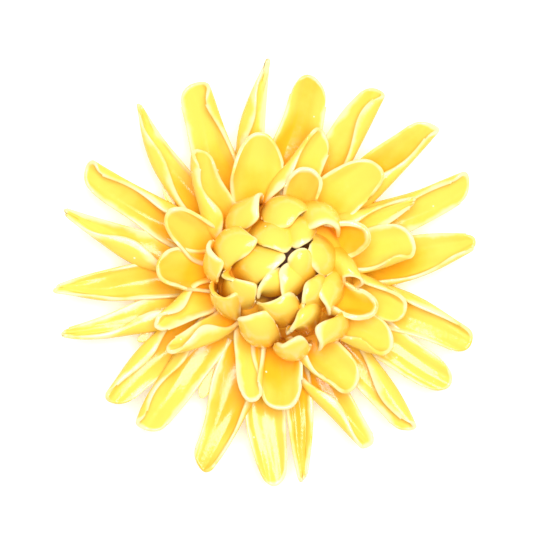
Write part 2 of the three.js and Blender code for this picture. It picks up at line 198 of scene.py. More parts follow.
@dataclass(frozen=True)
class Thickener:
    """Gives a sheet its wall, with half-round rims and a half-round end."""

    rim_steps: int = 5
    end_angles: tuple[float, ...] = (25.0, 50.0, 72.0)

    def skin(self, sheet: Sheet, side: Hollow) -> Skin:
        """The closed shell round a sheet.

        Each side is the sheet moved half the wall along its normal, which is the cross product of
        its slopes across and along. The rims are half circles from one side to the other. The last
        rows draw in to the middle by the cosine of an angle and step forward by its sine, and a
        strip closes them, as another does at the root.

        Args:
            sheet: The middle surface.
            side: Which side is the hollow one.

        Returns:
            The shell.
        """
        middle, half = sheet.points, sheet.wall[..., None] / 2
        along, across = unit(np.gradient(middle, axis=0)), unit(np.gradient(middle, axis=1))
        normal = unit(np.cross(across, along))
        upper, lower = middle + normal * half, (middle - normal * half)[:, ::-1]
        right = self._rim(middle[:, -1], normal[:, -1], along[:, -1], half[:, -1])
        left = self._rim(middle[:, 0], normal[:, 0], -along[:, 0], half[:, 0])[:, ::-1]
        loops = np.concatenate([upper, right, lower, left], axis=1)

        above, below = sheet.hollow, sheet.back
        if side is Hollow.BELOW:
            above, below = below, above
        edge = self._round(sheet.edge, sheet.edge)
        pool = self._round(above, below)

        top, bottom = self._partners(middle.shape[1])
        partner = np.empty(loops.shape[1], dtype=int)
        partner[top], partner[bottom] = bottom, top
        last = loops[-1]
        centre = (last + last[partner]) / 2
        forward = np.concatenate([
            along[-1], np.repeat(along[-1, -1:], self.rim_steps, axis=0),
            along[-1, ::-1], np.repeat(along[-1, :1], self.rim_steps, axis=0),
        ])
        angles = np.radians(self.end_angles)[:, None, None]
        reach = sheet.wall[-1].mean() / 2
        tapered = centre + (last - centre) * np.cos(angles) + forward * reach * np.sin(angles)
        loops = np.concatenate([loops, tapered])
        # The end's edge distance of 0 gives it the pale rim, which is partly glaze running thinly and
        # partly a painted highlight.
        edge = np.concatenate([edge, np.zeros(tapered.shape[:2])])
        pool = np.concatenate([pool, np.repeat(pool[-1:], len(tapered), axis=0)])

        index = np.arange(loops.shape[0] * loops.shape[1]).reshape(loops.shape[:2])
        ends = self._cap(index[-1], top, bottom), self._cap(index[0], bottom, top)
        quads = np.concatenate([bands(index), *ends])
        return Skin(loops.reshape(-1, 3), split(quads), edge.ravel(), pool.ravel())

    def _rim(
        self, centre: np.ndarray, up: np.ndarray, along: np.ndarray, half: np.ndarray
    ) -> np.ndarray:
        """The half circles of points round one rim, from the upper side down.

        At an angle from 0 to a half turn the point lies half the wall away from the centre, by the
        cosine upwards and by the sine outwards.

        Args:
            centre: The rim's points on the middle surface.
            up: The normals there.
            along: The way along the rim that has the outside on its right.
            half: Half the wall there.

        Returns:
            A row of points for each point of the rim.
        """
        turn = np.linspace(0.0, np.pi, self.rim_steps + 2)[1:-1][None, :, None]
        out = unit(np.cross(along, up))[:, None]
        return centre[:, None] + half[:, None] * (np.cos(turn) * up[:, None] + np.sin(turn) * out)

    def _round(self, upper: np.ndarray, lower: np.ndarray) -> np.ndarray:
        """Values of the two sides carried round each row's loop.

        Args:
            upper: The upper side's values, which the rims take too.
            lower: The lower side's values.

        Returns:
            A value for each point of the loops.
        """
        right = np.repeat(upper[:, -1:], self.rim_steps, axis=1)
        left = np.repeat(upper[:, :1], self.rim_steps, axis=1)
        return np.concatenate([upper, right, lower[:, ::-1], left], axis=1)

    def _partners(self, columns: int) -> tuple[np.ndarray, np.ndarray]:
        """Which points of a loop face each other across the wall.

        Args:
            columns: How many columns the sheet has.

        Returns:
            The upper and the lower points, both from the right rim's middle to the left rim's.
        """
        steps, middle = self.rim_steps, self.rim_steps // 2
        right = columns + np.arange(steps)
        left = 2 * columns + steps + np.arange(steps)
        upper = np.arange(columns)
        lower = columns + steps + np.arange(columns)
        top = np.concatenate([right[middle::-1], upper[::-1], left[:middle - 1:-1]])
        bottom = np.concatenate([right[middle:], lower, left[:middle + 1]])
        return top, bottom

    @staticmethod
    def _cap(ring: np.ndarray, top: np.ndarray, bottom: np.ndarray) -> np.ndarray:
        """The strip of quads that closes one ring between its partners."""
        return np.stack([ring[top[:-1]], ring[bottom[:-1]], ring[bottom[1:]], ring[top[1:]]], axis=-1)


@dataclass(frozen=True)
class PetalGrid:
    """How finely a petal's sheet is divided, with rows crowded to its end and columns to its rims."""

    rows: int = 36
    columns: int = 25
    end_crowding: float = 1.4
    rim_crowding: float = 0.65

    def shares(self) -> tuple[np.ndarray, np.ndarray]:
        """The parameters of the grid's rows and columns.

        With r from 0 to 1 and u from -1 to 1 in even steps, t is 1 minus a power of 1 - r, and v
        is a mixture of u and the sine of u quarter turns.

        Returns:
            t as a column and v as a row.
        """
        r = np.linspace(0.0, 1.0, self.rows)
        u = np.linspace(-1.0, 1.0, self.columns)
        t = 1.0 - (1.0 - r) ** self.end_crowding
        v = (1.0 - self.rim_crowding) * u + self.rim_crowding * np.sin(QUARTER_TURN * u)
        return t[:, None], v[None, :]


class Petal(ABC):
    """One petal, whatever its form."""

    hollow: Hollow

    @abstractmethod
    def sheet(self, grid: PetalGrid) -> Sheet:
        """The petal's middle surface on a grid."""


@dataclass(frozen=True)
class Ring:
    """One ring of open petals: where they root, how high they bend and how flat they are pressed.

    Each petal bends at its knee, which lies at a share of its reach from the ring's axis.
    """

    root_radius: float
    root_height: float
    knee_height: float
    squash: float
    axis_x: float = -1.0
    knee_share: float = 0.68

    def at(self, heading: float, radius: float, height: float) -> np.ndarray:
        """The point at a heading in degrees and a radius from the ring's axis."""
        turn = math.radians(heading)
        return np.array([self.axis_x + radius * math.cos(turn), radius * math.sin(turn), height])


@dataclass(frozen=True)
class Wave:
    """A sine wave in a petal, which starts elsewhere in each petal of a ring."""

    size: float
    pace: float
    shift: float = 0.0
    start: float = 0.0

    def at(
        self, place: np.ndarray | float, index: int, ahead: np.ndarray | float = 0.0
    ) -> np.ndarray:
        """Its size times the sine of the sum of pace times place, shift times index, start and ahead."""
        return self.size * np.sin(self.pace * place + self.shift * index + self.start + ahead)


@dataclass(frozen=True)
class Handwork:
    """How an open petal strays from its plain form, and from where to where that sets in.

    The left and right sides turn more or less, the width swells, and the spine bends. Broad folds
    and fine lines run along the trough and sway as they go, and the tip's edge is uneven.
    """

    left: Wave = Wave(0.16, 1.15 * FULL_TURN, 0.37 * FULL_TURN)
    right: Wave = Wave(0.16, 1.3 * FULL_TURN, 0.61 * FULL_TURN, 0.3 * FULL_TURN)
    width: Wave = Wave(0.05, 9.0, 2.3)
    spine: Wave = Wave(0.35, 7.0, 1.9)
    spine_from: tuple[float, float] = (0.2, 0.7)
    folds: Wave = Wave(0.2, 5.0)
    lines: Wave = Wave(0.09, 12.0, 1.0)
    sway: Wave = Wave(1.3, 3.0, 1.0)
    creases_from: tuple[float, float] = (0.1, 0.5)
    tip: Wave = Wave(0.9, 1.6, 1.7)


@dataclass(frozen=True)
class OpenForm:
    """Proportions that all open petals share, of the length, the width, the wall or the glaze."""

    root_width: float = 0.86
    widest_at: float = 0.4
    narrows_from: float = 0.3
    narrowing_power: float = 1.5
    rolled_at_root: float = 0.55
    rolled_from: float = 0.6
    walls_to_roll: float = 2.3
    least_roll: float = 0.02
    tip_thinning: float = 0.3
    rim_thinning: float = 0.35
    # The pooled shares below are partly glaze pooled and partly painted shade, deep orange in the
    # trough, near the root and on the back.
    pool_fades: tuple[float, float] = (0.05, 0.85)
    pool_at_rims: float = 0.3
    trough_gain: float = 0.4
    trough_loss: float = 0.3
    back_pool_and_shade: float = 0.6
    back_fades: tuple[float, float] = (0.0, 0.6)


@dataclass(frozen=True)
class OpenPetal(Petal):
    """A long petal folded up at its sides like a pod, or spread like a spoon.

    Its spine is a quadratic curve from root over knee to tip. Across it the sheet is an arc whose
    left and right parts turn through angles of their own, pressed flat by the ring's squash.

    Headings and turns are in degrees. The reach is the tip's distance from the ring's axis, half is
    the widest half width, and the tip share is what is left of it at the tip. The tip's round is as
    long as tip_reach times that. Pooled scales how much glaze lies in the trough, together with the
    shade painted there as deep orange, and creased how deep its creases are. The glaze reads the
    distance from the edge times thin_rim, which makes its pale rim, partly glaze running thinly and
    partly a painted highlight, that much narrower.
    """

    ring: Ring
    index: int
    root_heading: float
    tip_heading: float
    reach: float
    tip_height: float
    half: float
    left: float
    right: float
    tip_share: float
    pooled: float = 1.0
    wall: float = 1.8
    thin_rim: float = 2.0
    tip_reach: float = 1.6
    creased: float = 1.0
    form: OpenForm = OpenForm()
    handwork: Handwork = Handwork()
    hollow = Hollow.ABOVE

    def sheet(self, grid: PetalGrid) -> Sheet:
        """The arc carried along the spine.

        The end is rounded by letting each column run less far the nearer it is to a rim. There the
        tip's wave moves the points along the spine by a share of t cubed. The wall thins towards
        the tip and, by the fourth power of v, towards the rims.

        Args:
            grid: How finely to divide it.

        Returns:
            The middle surface.
        """
        t, v = grid.shares()
        ring = self.ring
        root = ring.at(self.root_heading, ring.root_radius, ring.root_height)
        knee = ring.at(self.root_heading, ring.knee_share * self.reach, ring.knee_height)
        tip = ring.at(self.tip_heading, self.reach, self.tip_height)
        length = float(np.linalg.norm(knee - root) + np.linalg.norm(tip - knee))
        short = self.tip_reach * self.half * self.tip_share / length * rounded(v, 2.0)
        t = t * (1.0 - short)

        part = t[..., None]
        centre = (1 - part) ** 2 * root + 2 * part * (1 - part) * knee + part ** 2 * tip
        along = unit((1 - part) * (knee - root) + part * (tip - knee))
        side = unit(np.cross(tip - root, UP))
        side = unit(side - (along @ side)[..., None] * along)
        up = np.cross(side, along)

        width = self._half_width(t)
        x, y = self._section(t, v, width)
        lead = self.handwork.tip.at(v, self.index) * t ** 3
        points = centre + x[..., None] * side + y[..., None] * up + lead[..., None] * along

        to_edge = np.minimum(width * (1.0 - np.abs(v)), (1.0 - short - t) * length)
        wall = self.wall * (1.0 - self.form.tip_thinning * t)
        wall = wall * (1.0 - self.form.rim_thinning * v ** 4)
        return Sheet(points, wall, self.thin_rim * to_edge, *self._pooling_and_shade(t, v))

    def _half_width(self, t: np.ndarray) -> np.ndarray:
        """Half the width along the petal.

        It swells by a quarter of a sine wave to its widest, then narrows by a power of t to the
        tip's share, and wavers all along.

        Args:
            t: Shares of the way along.

        Returns:
            Half widths in millimetres.
        """
        form = self.form
        swell = np.sin(QUARTER_TURN * np.minimum(t / form.widest_at, 1.0))
        broad = form.root_width + (1.0 - form.root_width) * swell
        past = np.clip((t - form.narrows_from) / (1.0 - form.narrows_from), 0.0, 1.0)
        narrow = 1.0 - (1.0 - self.tip_share) * past ** form.narrowing_power
        return self.half * broad * narrow * (1.0 + self.handwork.width.at(t, self.index))

    def _turns(self, t: np.ndarray, curl: np.ndarray) -> tuple[np.ndarray, np.ndarray]:
        """How far each side of the arc turns, wavering along the petal.

        Args:
            t: Shares of the way along.
            curl: Shares of the full turn that the width leaves room for.

        Returns:
            The left and the right turn in radians.
        """
        form, hand = self.form, self.handwork
        grown = np.sin(QUARTER_TURN * np.clip(t / form.rolled_from, 0.0, 1.0))
        rolled = np.radians(curl) * (form.rolled_at_root + (1.0 - form.rolled_at_root) * grown)
        left = self.left * rolled * (1.0 + hand.left.at(t, self.index))
        right = self.right * rolled * (1.0 + hand.right.at(t, self.index))
        return left, right

    def _section(
        self, t: np.ndarray, v: np.ndarray, width: np.ndarray
    ) -> tuple[np.ndarray, np.ndarray]:
        """The arc across the spine.

        With w the half width and a, b the two turns, the arc's radius is 2w over the sum of what a
        and b show from above, which is a turn's sine, or 1 past a quarter turn. Its x is radius
        times sin of the angle, and its y is squash times radius times one minus cos. Where the
        petal is narrow the turns open out, so its walls stay apart.

        Args:
            t: Shares of the way along.
            v: Shares of the way from the middle to the rims.
            width: Half widths.

        Returns:
            How far each point lies to the side of the spine and above it.
        """
        form, hand = self.form, self.handwork
        room = np.clip(width / (form.walls_to_roll * self.wall), form.least_roll, 1.0)
        curl = room * (2.0 - room)
        left, right = self._turns(t, curl)
        squash = self.ring.squash + (1.0 - self.ring.squash) * (1.0 - curl)
        left_shown = np.where(left > QUARTER_TURN, 1.0, np.sin(left))
        right_shown = np.where(right > QUARTER_TURN, 1.0, np.sin(right))
        radius = 2.0 * width / np.maximum(left_shown + right_shown, 1e-6)
        angle = -left + (left + right) * (v + 1.0) / 2.0

        bend = hand.spine.at(t, self.index) * smooth(*hand.spine_from, t)
        x = radius * np.sin(angle) - (right_shown - left_shown) / 2.0 * radius + bend
        sway = hand.sway.at(t, self.index)
        creases = hand.folds.at(v, self.index, sway) + hand.lines.at(v, self.index, -sway)
        ripple = self.creased * creases * smooth(*hand.creases_from, t)
        return x, squash * radius * (1.0 - np.cos(angle)) + ripple

    def _pooling_and_shade(self, t: np.ndarray, v: np.ndarray) -> tuple[np.ndarray, np.ndarray]:
        """How much glaze has pooled on either side, together with painted shade; both turn it deep
        orange.

        It fades from root to tip, so the painted shade is deepest near the root. On the hollow side the
        trough, 1 - v^2, holds more of it than the rims, as shade painted into the trough, and a petal
        that is more pooled than others is so all along its trough.

        Args:
            t: Shares of the way along.
            v: Shares of the way from the middle to the rims.

        Returns:
            The shares on the hollow side and on the back.
        """
        form = self.form
        trough = 1.0 - v ** 2
        across = form.pool_at_rims + (1.0 - form.pool_at_rims) * trough
        deep = (1.0 - smooth(*form.pool_fades, t)) * across
        all_along = (form.trough_gain * self.pooled - form.trough_loss) * trough
        hollow = np.clip(self.pooled * deep + all_along, 0.0, 1.0)
        back = form.back_pool_and_shade * (1.0 - smooth(*form.back_fades, t))
        return hollow, back


@dataclass(frozen=True)
class Forks:
    """Smooth tongues of clay low in the forks between neighbouring petals, whose roots run together."""

    tongue: OpenPetal = OpenPetal(
        ring=Ring(19.0, 6.8, 7.8, 0.5),
        index=0,
        root_heading=0.0,
        tip_heading=0.0,
        reach=40.8,
        tip_height=8.8,
        half=3.4,
        left=16.0,
        right=16.0,
        tip_share=0.5,
        # pooled=2.2 paints the tongues deep orange, partly glaze pooled in the forks and partly painted
        # shade there.
        pooled=2.2,
        wall=1.3,
        thin_rim=6.0,
        creased=0.0,
    )
    uneven: Wave = Wave(1.8, 0.0, 2.6)

    def between(self, petals: list[OpenPetal]) -> list[OpenPetal]:
        """One tongue between each two neighbours of a ring, its headings midway between theirs.

        Args:
            petals: The ring's petals in order.

        Returns:
            The tongues.
        """
        return [
            replace(
                self.tongue,
                index=one.index,
                root_heading=self._midway(one.root_heading, other.root_heading),
                tip_heading=self._midway(one.tip_heading, other.tip_heading),
                reach=self.tongue.reach + float(self.uneven.at(0.0, one.index)),
            )
            for one, other in zip(petals, petals[1:] + petals[:1])
        ]

    @staticmethod
    def _midway(heading: float, other: float) -> float:
        """The heading halfway on the shorter way round from one to another, in degrees."""
        return heading + ((other - heading + 180.0) % 360.0 - 180.0) / 2.0


@dataclass(frozen=True)
class HoodForm:
    """Proportions that all petals of the ball share, as shares of the length, the width or the wall.

    The centre is the point inside the ball that the petals turn their hollow side to. At the sides
    the glaze reads side_edge_mm as the distance from the edge, so they are less pale than the mouth,
    whose pale lip is partly glaze running thinly and partly a painted highlight.
    """

    centre: Point = (5.4, 0.6, 4.0)
    drop_share: float = 0.8
    round_share: float = 0.5
    round_cut: float = 0.9
    corner: float = 0.16
    corner_power: float = 4.0
    flare_mm: float = 0.8
    flares: tuple[float, float] = (0.7, 1.1)
    mouth_thinning: float = 0.2
    side_thinning: float = 0.45
    side_edge_mm: float = 1.0
    mouth_drained: float = 0.6
    drains: tuple[float, float] = (0.5, 1.0)
    # The back's and the sides' pooled shares are partly glaze pooled there and partly painted shade,
    # deep orange towards the root and the sides.
    back_pool_and_shade: float = 0.85
    back_fades: tuple[float, float] = (0.25, 0.85)
    side_pool_and_shade: float = 0.7


@dataclass(frozen=True)
class HoodPetal(Petal):
    """A petal of the ball, which climbs its outside and bends in over the heart to an open mouth.

    Root, belly and mouth are given by where the photo shows them. The crown line runs from the root over
    the belly to the middle of the mouth. The mouth's edge runs through five spots, from its left
    corner to its right, left and right as seen on the way from the root to the mouth. The height is
    the mouth's in its middle, how far it rises from there to the right, and how far it drops to both
    corners. Half is the half width at the root and at the belly, and walls the wall at either side.
    """

    root: Point
    belly: Point
    mouth: tuple[tuple[float, float], ...]
    height: tuple[float, float, float]
    half: tuple[float, float]
    walls: tuple[float, float] = (1.9, 1.9)
    form: HoodForm = HoodForm()
    hollow = Hollow.BELOW

    def sheet(self, grid: PetalGrid) -> Sheet:
        """A patch through three rows.

        The row at the root and the row at the belly run straight across by v times the half width
        and fall away from the crown line towards the sides. The row at the mouth is the smooth
        curve through its spots. Along t the patch is the quadratic through the three rows. Its
        corners are drawn back by a high power of v, and its last stretch flares a little outward.

        Args:
            grid: How finely to divide it.

        Returns:
            The middle surface.
        """
        form = self.form
        t, v = grid.shares()
        root, belly, spots = photo_point(self.root), photo_point(self.belly), self._spots()
        out = unit(belly - np.array(form.centre))
        across = unit(np.cross(unit(spots.mean(axis=0) - root), out))
        first, second = (
            spot + (v * half)[..., None] * across
            - (self._fall(v) * form.drop_share * half)[..., None] * out
            for spot, half in zip((root, belly), self.half)
        )
        mouth = through(spots, v)
        short = form.corner * rounded(v, form.corner_power)
        t = t * (1.0 - short)
        share = t[..., None]
        control = 2 * second - (first + mouth) / 2
        points = (1 - share) ** 2 * first + 2 * share * (1 - share) * control + share ** 2 * mouth
        points = points + (form.flare_mm * smooth(*form.flares, t))[..., None] * unit(out + UP)

        crown = points[:, points.shape[1] // 2]
        length = float(np.linalg.norm(np.diff(crown, axis=0), axis=1).sum())
        to_side = form.side_edge_mm + 2.0 * self.half[1] * (1.0 - np.abs(v))
        edge = np.minimum((1.0 - short - t) * length, to_side)
        left, right = self.walls
        wall = (left + (right - left) * (v + 1.0) / 2.0) * (1.0 - form.mouth_thinning * t)
        wall = wall * (1.0 - form.side_thinning * v ** 4)
        return Sheet(points, wall, edge, *self._pooling_and_shade(t, v))

    def _spots(self) -> np.ndarray:
        """The mouth's spots.

        Their height is the middle's, plus the rise times the share v to the right, less the drop
        times the fall at v.

        Returns:
            Points in millimetres, one a row.
        """
        middle, rise, drop = self.height
        v = np.linspace(-1.0, 1.0, len(self.mouth))
        heights = middle + rise * v - drop * self._fall(v)
        return np.array([photo_point((x, y, z)) for (x, y), z in zip(self.mouth, heights)])

    def _fall(self, v: np.ndarray) -> np.ndarray:
        """How far the sheet has fallen away from its crown line.

        It is a mixture of a parabola, v^2, and a round, which is 1 minus the root of 1 - c v^2 over
        1 minus the root of 1 - c, with c the round's cut.

        Args:
            v: Shares of the way from the crown line to the sides.

        Returns:
            Shares of the whole fall.
        """
        cut, share = self.form.round_cut, self.form.round_share
        bow = (1.0 - np.sqrt(1.0 - cut * v ** 2)) / (1.0 - math.sqrt(1.0 - cut))
        return (1.0 - share) * v ** 2 + share * bow

    def _pooling_and_shade(self, t: np.ndarray, v: np.ndarray) -> tuple[np.ndarray, np.ndarray]:
        """How much glaze has pooled on either side, together with painted shade.

        The hollow side is full, and partly drained at the mouth. The back's fades from the root,
        and runs together again, by the sixth power of v, at the sides; there and near the root the deep
        orange is partly glaze pooled and partly painted shade.

        Args:
            t: Shares of the way along.
            v: Shares of the way from the crown line to the sides.

        Returns:
            The shares on the hollow side and on the back.
        """
        form = self.form
        hollow = 1.0 - form.mouth_drained * smooth(*form.drains, t)
        back = form.back_pool_and_shade * (1.0 - smooth(*form.back_fades, t))
        return hollow, np.maximum(back, form.side_pool_and_shade * v ** 6)


@dataclass(frozen=True)
class Grain:
    """A random unevenness: its patches' size, how many finer layers it has, and how deep it is."""

    size_mm: float
    detail: float
    depth_mm: float = 0.0


class Recipe:
    """A finish being put together from nodes."""

    # Where the Mix node keeps its two colours and what it makes of them.
    FIRST_COLOUR, SECOND_COLOUR, MIXED_COLOUR = 6, 7, 2

    def __init__(self, name: str) -> None:
        """Starts a material that has its shader alone.

        Args:
            name: The finish's name.
        """
        self.material = bpy.data.materials.new(name)
        self.material.use_nodes = True
        self.tree = self.material.node_tree
        self.shader = self.tree.nodes["Principled BSDF"]

    def node(self, kind: str, *values: Socket) -> bpy.types.Node:
        """A new node.

        Args:
            kind: Blender's name for its kind.
            values: What goes into its first inputs, in order.

        Returns:
            The node.
        """
        made = self.tree.nodes.new(kind)
        for value, socket in zip(values, made.inputs):
            self.tree.links.new(value, socket)
        return made

    def feed(self, label: str, value: Socket) -> None:
        """Lets a value drive one of the shader's own inputs."""
        self.tree.links.new(value, self.shader.inputs[label])

    def place(self) -> Socket:
        """Each point's place on its own piece, in metres."""
        return self.node("ShaderNodeTexCoord").outputs["Object"]

    def attribute(self, name: str) -> Socket:
        """The value that the mesh's points hold under a name.

        Args:
            name: The attribute's name.

        Returns:
            The value.
        """
        made = self.node("ShaderNodeAttribute")
        made.attribute_name = name
        return made.outputs["Fac"]

    def noise(self, grain: Grain) -> Socket:
        """A soft random value round a half.

        Args:
            grain: How it is grained.

        Returns:
            The value.
        """
        made = self.node("ShaderNodeTexNoise", self.place())
        made.inputs["Scale"].default_value = 1.0 / (MM * grain.size_mm)
        made.inputs["Detail"].default_value = grain.detail
        return made.outputs["Fac"]

    def between(self, value: Socket, at_zero: float, at_one: float) -> Socket:
        """A value stretched or turned round: (at_one - at_zero) times it, plus at_zero.

        Args:
            value: The value.
            at_zero: What 0 becomes.
            at_one: What 1 becomes.

        Returns:
            The new value.
        """
        made = self.node("ShaderNodeMath", value)
        made.operation = "MULTIPLY_ADD"
        made.inputs[1].default_value = at_one - at_zero
        made.inputs[2].default_value = at_zero
        return made.outputs["Value"]

    def graded(self, value: Socket, low: float, high: float) -> Socket:
        """A soft step of a value.

        Args:
            value: The value.
            low: Where the step is 0.
            high: Where it is 1.

        Returns:
            The step's value.
        """
        made = self.node("ShaderNodeMapRange", value)
        made.interpolation_type = "SMOOTHSTEP"
        made.inputs["From Min"].default_value = low
        made.inputs["From Max"].default_value = high
        return made.outputs["Result"]

    def joined(self, operation: str, first: Socket, second: Socket) -> Socket:
        """Two values joined by one operation.

        Args:
            operation: Blender's name for it, such as ADD.
            first: One value.
            second: The other.

        Returns:
            The result.
        """
        made = self.node("ShaderNodeMath", first, second)
        made.operation = operation
        return made.outputs["Value"]

    def mix(self, share: Socket, first: Colour | Socket, second: Colour | Socket) -> Socket:
        """Two colours mixed.

        Args:
            share: 0 for all of the first and 1 for all of the second.
            first: A colour or a socket.
            second: A colour or a socket.

        Returns:
            The mixed colour.
        """
        made = self.node("ShaderNodeMix")
        made.data_type = "RGBA"
        self.tree.links.new(share, made.inputs["Factor"])
        for number, value in ((self.FIRST_COLOUR, first), (self.SECOND_COLOUR, second)):
            if isinstance(value, Socket):
                self.tree.links.new(value, made.inputs[number])
            else:
                made.inputs[number].default_value = value
        return made.outputs[self.MIXED_COLOUR]

    def bumps(self, height: Socket, depth_mm: float) -> None:
        """Lets a value's highs and lows catch the light.

        Args:
            height: The value, from 0 to 1.
            depth_mm: How much higher 1 lies than 0.
        """
        made = self.node("ShaderNodeBump")
        made.inputs["Strength"].default_value = 1.0
        made.inputs["Distance"].default_value = MM * depth_mm
        self.tree.links.new(height, made.inputs["Height"])
        self.feed("Normal", made.outputs["Normal"])


@dataclass(frozen=True)
class GlazeFinish:
    """Clear yellow glaze: pale at the rims, partly where it runs thinly over them and partly as a
    painted highlight, and deep orange in hollows and near the roots, partly where it pools and partly as
    painted shade.

    Clouds make the rims wider or narrower and the pools deeper or shallower. Each drift gives by how
    much where the clouds' value is 0 and where it is 1.
    """

    name: str = "yellow glaze"
    # The rim colour is partly glaze running thinly over the rims and partly a painted highlight; the
    # pooled colour is partly glaze pooled in hollows and partly painted shade in troughs, hollows and
    # near the roots.
    rim: Colour = (0.97, 0.82, 0.42, 1.0)
    body: Colour = (0.97, 0.67, 0.095, 1.0)
    pool: Colour = (0.98, 0.48, 0.02, 1.0)
    speck: Colour = (0.98, 0.9, 0.62, 1.0)
    roughness: tuple[float, float] = (0.1, 0.24)
    ior: float = 1.5
    rim_width_mm: float = 2.3
    rim_drift_mm: tuple[float, float] = (-2.8, 4.2)
    pool_drift: tuple[float, float] = (-0.45, 0.45)
    pool_range: tuple[float, float] = (0.05, 1.0)
    clouds: Grain = Grain(9.0, 3.0)
    peel: Grain = Grain(1.3, 2.0, 0.05)
    speck_cell_mm: float = 3.6
    speck_edge: tuple[float, float] = (0.11, 0.06)
    speck_draw: tuple[float, float] = (0.86, 0.9)

    def material(self) -> bpy.types.Material:
        """The glaze as a node material.

        Returns:
            A material that mixes its three colours by each point's edge distance, which sets the pale
            rim that is partly a painted highlight, and by its pooling share, which sets the deep orange
            that is partly painted shade, both shifted by a cloudy noise, with pinhole specks and a faint
            orange-peel grain.
        """
        recipe = Recipe(self.name)
        recipe.shader.inputs["IOR"].default_value = self.ior
        clouds = recipe.noise(self.clouds)
        peel = recipe.noise(self.peel)

        rim_shift = recipe.between(clouds, *self.rim_drift_mm)
        edge = recipe.joined("ADD", recipe.attribute("edge_mm"), rim_shift)
        pool_shift = recipe.between(clouds, *self.pool_drift)
        # Painted shade: the pooling share turns the colour deep orange in troughs, hollows and near the
        # roots, partly for glaze pooled there.
        pool = recipe.joined("ADD", recipe.attribute("pool"), pool_shift)
        deep = recipe.mix(recipe.graded(pool, *self.pool_range), self.body, self.pool)
        # Painted highlight: the pale band along each edge is partly glaze running thinly and partly a
        # highlight painted into the colour.
        pale_rim_and_highlight = recipe.mix(recipe.graded(edge, 0.0, self.rim_width_mm), self.rim, deep)
        recipe.feed("Base Color", recipe.mix(self._specks(recipe), pale_rim_and_highlight, self.speck))

        recipe.feed("Roughness", recipe.between(peel, *self.roughness))
        recipe.bumps(peel, self.peel.depth_mm)
        return recipe.material

    def _specks(self, recipe: Recipe) -> Socket:
        """Small pale specks where bubbles burst in the glaze.

        Args:
            recipe: The glaze's recipe.

        Returns:
            1 close to the middle of those cells of a random lattice whose red is high enough.
        """
        cells = recipe.node("ShaderNodeTexVoronoi", recipe.place())
        cells.inputs["Scale"].default_value = 1.0 / (MM * self.speck_cell_mm)
        near = recipe.graded(cells.outputs["Distance"], *self.speck_edge)
        parts = recipe.node("ShaderNodeSeparateColor", cells.outputs["Color"])
        chosen = recipe.graded(parts.outputs["Red"], *self.speck_draw)
        return recipe.joined("MULTIPLY", near, chosen)


@dataclass(frozen=True)
class DepthFinish:
    """Glaze deep among the petals with painted shade: a painted dark brown shade in the heart, and
    orange where it has run out from it, partly glaze colour and partly painted shade.
    """

    name: str = "glaze and painted shade in the depths"
    # Painted shade: the dark brown heart stands for the deep shadow among the petals, and the orange
    # round it is partly glaze colour and partly painted shade.
    heart: Colour = (0.13, 0.034, 0.005, 1.0)
    round_heart: Colour = (0.95, 0.48, 0.035, 1.0)
    centre: Point = (5.4, 0.6, 0.0)
    reach_mm: tuple[float, float] = (8.5, 15.0)
    uneven_mm: float = 2.0
    roughness: float = 0.5
    shine: float = 0.2
    grain: Grain = Grain(1.6, 3.0, 0.15)

    def material(self) -> bpy.types.Material:
        """The glaze as a node material.

        Returns:
            A material graded from brown to orange by the distance from the heart's axis, so that the
            painted shade is darkest in the heart.
        """
        recipe = Recipe(self.name)
        recipe.shader.inputs["Roughness"].default_value = self.roughness
        recipe.shader.inputs["Specular IOR Level"].default_value = self.shine
        flat = recipe.node("ShaderNodeVectorMath", recipe.place())
        flat.operation = "MULTIPLY"
        flat.inputs[1].default_value = (1.0, 1.0, 0.0)
        away = recipe.node("ShaderNodeVectorMath", flat.outputs["Vector"])
        away.operation = "DISTANCE"
        away.inputs[1].default_value = [MM * c for c in self.centre]
        grain = recipe.noise(self.grain)
        uneven = recipe.between(grain, -MM * self.uneven_mm, MM * self.uneven_mm)
        distance = recipe.joined("ADD", away.outputs["Value"], uneven)
        share = recipe.graded(distance, *(MM * reach for reach in self.reach_mm))
        recipe.feed("Base Color", recipe.mix(share, self.heart, self.round_heart))
        recipe.bumps(grain, self.grain.depth_mm)
        return recipe.material


@dataclass(frozen=True)
class FootFinish:
    """The foot: glaze down its side, which stops in a wavy line above the bare clay it stands on."""

    name: str = "foot"
    glaze: Colour = (0.97, 0.5, 0.03, 1.0)
    clay: Colour = (0.72, 0.58, 0.42, 1.0)
    dark_clay: Colour = (0.5, 0.36, 0.23, 1.0)
    line_mm: tuple[float, float] = (0.9, 1.5)
    line_wave_mm: float = 0.8
    clay_roughness: float = 0.85
    glaze_roughness: float = 0.2
    sand: Grain = Grain(0.7, 4.0, 0.06)
    clouds: Grain = Grain(7.0, 2.0)

    def material(self) -> bpy.types.Material:
        """The foot as a node material.

        Returns:
            A material that turns from sandy clay to glaze by the height above the floor.
        """
        recipe = Recipe(self.name)
        clouds = recipe.noise(self.clouds)
        sand = recipe.noise(self.sand)
        parts = recipe.node("ShaderNodeSeparateXYZ", recipe.place())
        wave = recipe.between(clouds, -MM * self.line_wave_mm, MM * self.line_wave_mm)
        height = recipe.joined("ADD", parts.outputs["Z"], wave)
        glazed = recipe.graded(height, *(MM * line for line in self.line_mm))
        bare = recipe.mix(sand, self.dark_clay, self.clay)
        recipe.feed("Base Color", recipe.mix(glazed, bare, self.glaze))
        recipe.feed("Roughness", recipe.between(glazed, self.clay_roughness, self.glaze_roughness))
        uncovered = recipe.between(glazed, 1.0, 0.0)
        recipe.bumps(recipe.joined("MULTIPLY", sand, uncovered), self.sand.depth_mm)
        return recipe.material


